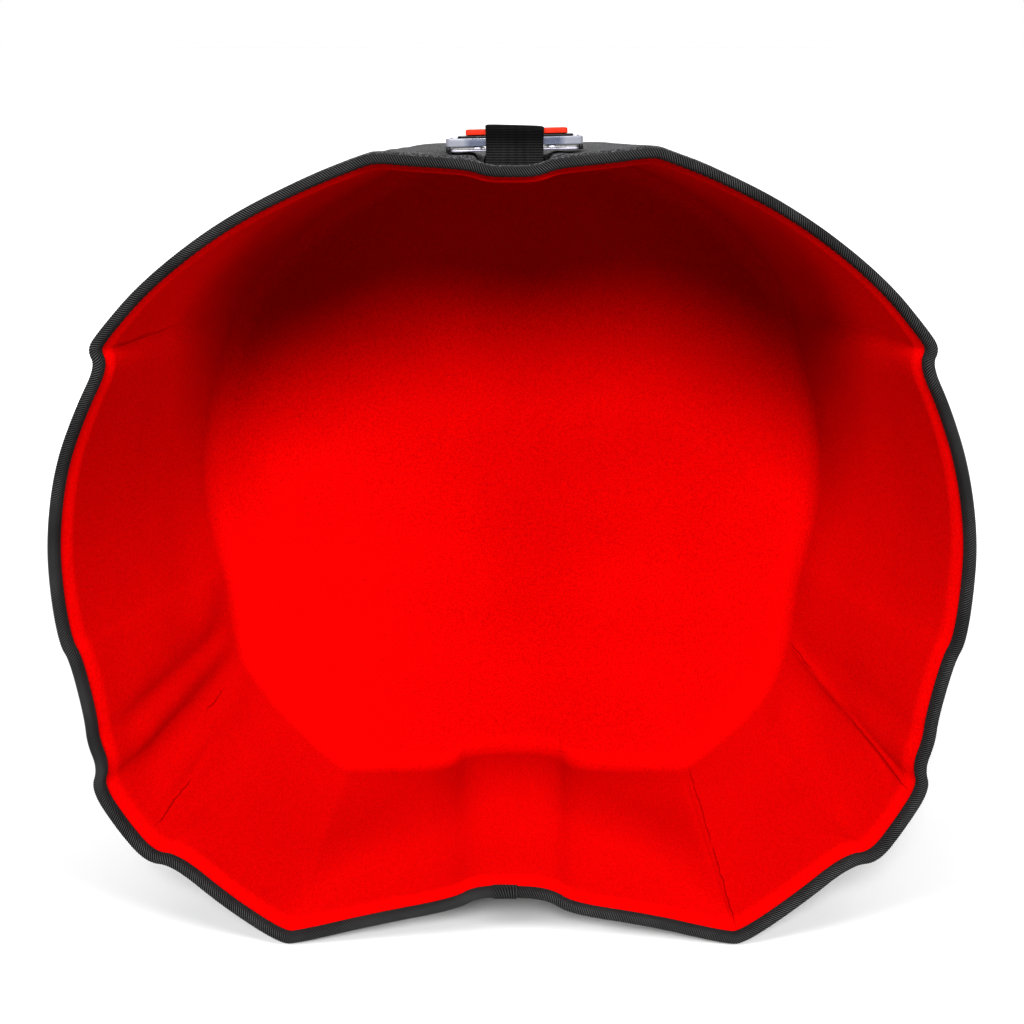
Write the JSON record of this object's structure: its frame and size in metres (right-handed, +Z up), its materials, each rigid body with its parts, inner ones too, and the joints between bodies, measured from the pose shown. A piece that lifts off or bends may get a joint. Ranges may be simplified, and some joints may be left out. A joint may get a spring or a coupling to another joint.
{
  "type": "moulded carrying case shell",
  "caption": "Deep moulded foam carrying-case half shell with brushed red lining, taped rim and stepped outline, with a clear label case under an elastic loop on its top.",
  "frame": {"origin": "on the floor under the middle of the case's bounding box", "axes": "+X to the right seen from the open mouth, +Y from the mouth into the case, +Z up; the case stands on the two ridges of its lower wall with the mouth leaning back a little"},
  "size_m": [0.4014, 0.2164, 0.3629],
  "materials": {
    "outer_fabric": "fine speckled dark grey knit laminated on foam",
    "foam": "closed-cell moulded foam",
    "lining": "short brushed pile",
    "binding": "black twill tape",
    "thread": "black sewing thread",
    "elastic": "ribbed woven elastic",
    "clear_plastic": "clear polished",
    "white_plastic": "glossy",
    "black_plastic": "glossy",
    "orange_plastic": "satin"
  },
  "bodies": {
    "case": {"outer_skin": "outer_fabric", "foam_core": "foam", "red_lining": "lining", "rim_binding": "binding", "binding_needle_thread": "thread", "binding_bobbin_thread": "thread", "elastic_loop": "elastic"},
    "label": {"label_base": "clear_plastic", "label_rivet_left": "white_plastic", "label_rivet_right": "white_plastic", "label_clip_left": "black_plastic", "label_clip_right": "black_plastic", "label_case": "clear_plastic", "label_film": "black_plastic"},
    "plate": {"orange_plate": "orange_plastic"}
  },
  "joints": [
    {"name": "label_slide", "type": "slide", "parent": "case", "child": "label", "axis": [0.9997, 0.001, 0.0253], "range_m": [0, 0.012]},
    {"name": "plate_slide", "type": "slide", "parent": "label", "child": "plate", "axis": [0.9997, 0.001, 0.0253], "range_m": [0, 0.045]}
  ]
}
